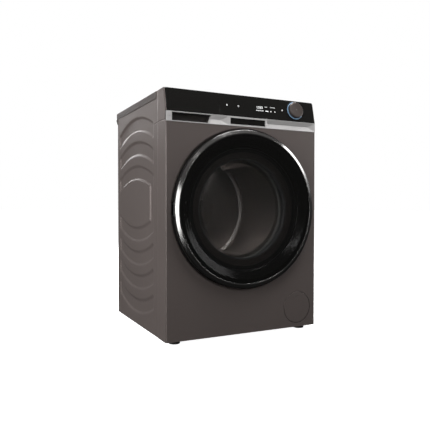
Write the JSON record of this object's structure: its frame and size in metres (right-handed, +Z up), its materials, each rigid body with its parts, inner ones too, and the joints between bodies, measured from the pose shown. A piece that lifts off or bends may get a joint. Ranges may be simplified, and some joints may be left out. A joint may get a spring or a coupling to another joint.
{
  "type": "front load washing machine",
  "caption": "Free-standing front-loading washing machine: boxed steel cabinet, round glazed door, leaning control fascia with dial and detergent drawer, sprung tub and belt-driven drum.",
  "frame": {"origin": "on the floor under the middle of the whole machine", "axes": "+X right as seen from the front, +Y to the back, +Z up; the door faces -Y"},
  "size_m": [0.598, 0.6134, 0.85],
  "materials": {
    "body_paint": "satin metallic anthracite",
    "zinc_steel": "galvanised",
    "body_plastic": "satin metallic anthracite",
    "worktop_laminate": "matt laminate on board",
    "gloss_black": "high gloss",
    "bright_trim": "bright",
    "dial_metal": "satin",
    "lamp_plastic": "translucent",
    "board_green": "coated board",
    "white_plastic": "moulded",
    "blue_plastic": "moulded",
    "black_plastic": "moulded",
    "tinted_glass": "polished",
    "clear_glass": "polished",
    "hinge_metal": "plated",
    "grey_rubber": "moulded",
    "spring_steel": "plain",
    "tub_plastic": "moulded",
    "weight_iron": "painted",
    "motor_metal": "painted",
    "belt_rubber": "ribbed",
    "drum_steel": "polished",
    "cast_aluminium": "as cast",
    "foot_plastic": "moulded"
  },
  "bodies": {
    "cabinet": {"left_side_panel": "body_paint", "right_side_panel": "body_paint", "front_panel": "body_paint", "rear_panel": "zinc_steel", "rear_service_cover": "zinc_steel", "base_tray": "zinc_steel", "top_cross_rails": "zinc_steel", "rear_screws": "zinc_steel", "worktop_surround": "body_plastic", "worktop_board": "worktop_laminate", "control_fascia": "gloss_black", "trim_label": "gloss_black", "trim_strip": "bright_trim", "dial_light_ring": "lamp_plastic", "control_board": "board_green", "dispenser_housing": "white_plastic", "door_hinge_bracket": "hinge_metal", "door_hinge_pin": "hinge_metal", "door_lock": "black_plastic", "door_gasket": "grey_rubber", "suspension_springs": "spring_steel", "drain_pump": "white_plastic", "service_niche": "black_plastic", "damper_cylinders": "black_plastic", "inlet_valve": "white_plastic", "drain_outlet": "black_plastic", "cord_gland": "black_plastic"},
    "drawer": {"drawer_tray": "white_plastic", "drawer_front": "gloss_black", "drawer_pull": "bright_trim", "siphon_cap": "blue_plastic"},
    "release_tab": {"drawer_release_tab": "blue_plastic"},
    "door": {"door_frame": "black_plastic", "door_chrome_ring": "bright_trim", "door_cover_glass": "tinted_glass", "door_glass_bowl": "clear_glass", "door_inner_ring": "black_plastic", "door_hinge_leaf": "hinge_metal"},
    "latch_hook": {"door_latch_hook": "hinge_metal"},
    "dial": {"dial_knob": "dial_metal"},
    "flap": {"service_flap": "body_paint"},
    "filter": {"filter_cap": "black_plastic"},
    "tub": {"tub_front": "tub_plastic", "tub_rear": "tub_plastic", "top_counterweight": "weight_iron", "front_counterweight": "weight_iron", "drum_bearings": "spring_steel", "heating_element": "drum_steel", "motor": "motor_metal", "drive_belt": "belt_rubber", "damper_rods": "spring_steel"},
    "drum": {"drum_shell": "drum_steel", "drum_lifters": "white_plastic", "drum_spider": "cast_aluminium", "drum_pulley": "cast_aluminium"},
    "motor_rotor": {"motor_pulley": "spring_steel"},
    "foot_fl": {"front_left_foot": "foot_plastic"},
    "foot_fr": {"front_right_foot": "foot_plastic"},
    "foot_rl": {"rear_left_foot": "foot_plastic"},
    "foot_rr": {"rear_right_foot": "foot_plastic"}
  },
  "joints": [
    {"name": "door_hinge", "type": "hinge", "parent": "cabinet", "child": "door", "pos_m": [-0.27, -0.2847, 0.45], "axis": [0, 0, -1], "range_deg": [0, 110]},
    {"name": "door_latch", "type": "hinge", "parent": "door", "child": "latch_hook", "pos_m": [0.241, -0.2727, 0.45], "axis": [0, 0, 1], "range_deg": [0, 9], "stiffness_Nm_per_rad": 0.4, "springref_deg": -8.59},
    {"name": "drawer_slide", "type": "slide", "parent": "cabinet", "child": "drawer", "axis": [0, -1, 0], "range_m": [0, 0.22]},
    {"name": "drawer_release", "type": "slide", "parent": "drawer", "child": "release_tab", "axis": [0, 0, -1], "range_m": [0, 0.0035], "stiffness_N_per_m": 600, "springref_m": -0.003},
    {"name": "dial_turn", "type": "hinge", "parent": "cabinet", "child": "dial", "pos_m": [0.213, -0.26783, 0.81196], "axis": [0, -0.9779, 0.2091], "continuous": true},
    {"name": "flap_pull", "type": "slide", "parent": "cabinet", "child": "flap", "axis": [0, -1, 0], "range_m": [0, 0.03]},
    {"name": "filter_turn", "type": "hinge", "parent": "cabinet", "child": "filter", "pos_m": [0.219, -0.2367, 0.087], "axis": [0, -1, 0], "range_deg": [0, 90]},
    {"name": "tub_float", "type": "slide", "parent": "cabinet", "child": "tub", "axis": [0, 0, 1], "range_m": [-0.008, 0.008], "stiffness_N_per_m": 9000, "springref_m": 0.0499, "deforming": ["suspension_springs", "door_gasket"]},
    {"name": "drum_spin", "type": "hinge", "parent": "tub", "child": "drum", "pos_m": [0, 0.0233, 0.45], "axis": [0, -1, 0], "continuous": true},
    {"name": "motor_spin", "type": "hinge", "parent": "tub", "child": "motor_rotor", "pos_m": [0, 0.2233, 0.13], "axis": [0, -1, 0], "continuous": true},
    {"name": "front_left_level", "type": "slide", "parent": "cabinet", "child": "foot_fl", "axis": [0, 0, -1], "range_m": [0, 0.012]},
    {"name": "front_right_level", "type": "slide", "parent": "cabinet", "child": "foot_fr", "axis": [0, 0, -1], "range_m": [0, 0.012]},
    {"name": "rear_left_level", "type": "slide", "parent": "cabinet", "child": "foot_rl", "axis": [0, 0, -1], "range_m": [0, 0.012]},
    {"name": "rear_right_level", "type": "slide", "parent": "cabinet", "child": "foot_rr", "axis": [0, 0, -1], "range_m": [0, 0.012]}
  ],
  "couplings": [
    {"joint": "motor_spin", "follows": "drum_spin", "ratio": 10.714}
  ]
}
